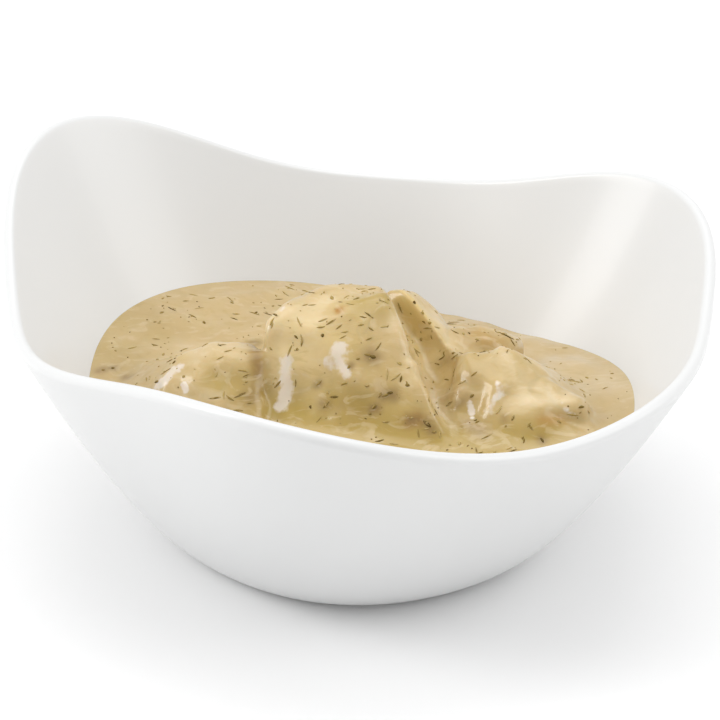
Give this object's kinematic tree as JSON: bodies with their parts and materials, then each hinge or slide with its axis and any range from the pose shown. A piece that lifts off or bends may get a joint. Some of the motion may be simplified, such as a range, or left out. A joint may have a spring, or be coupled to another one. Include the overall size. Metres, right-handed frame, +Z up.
{
  "type": "dish of pickled herring",
  "caption": "White bowl with a wavy rim, filled with thick dill cream sauce that holds chunks of pickled herring.",
  "frame": {"origin": "middle of the bowl's flat base", "axes": "+Z up, -Y towards the low front of the rim that the picture is seen from, +X to the picture's right"},
  "size_m": [0.142, 0.1453, 0.0648],
  "materials": {
    "glaze": "white glazed porcelain, smooth and glossy",
    "cream_sauce": "thick wet beige cream sauce with chopped dill",
    "coated_herring": "herring coated in the wet cream sauce, with chopped dill"
  },
  "bodies": {
    "root": {"bowl": "glaze", "sauce": "cream_sauce", "herring_main": "coated_herring", "herring_back": "coated_herring", "herring_right": "coated_herring", "herring_left": "coated_herring", "herring_back_right": "coated_herring", "herring_front_right": "coated_herring"}
  },
  "joints": []
}
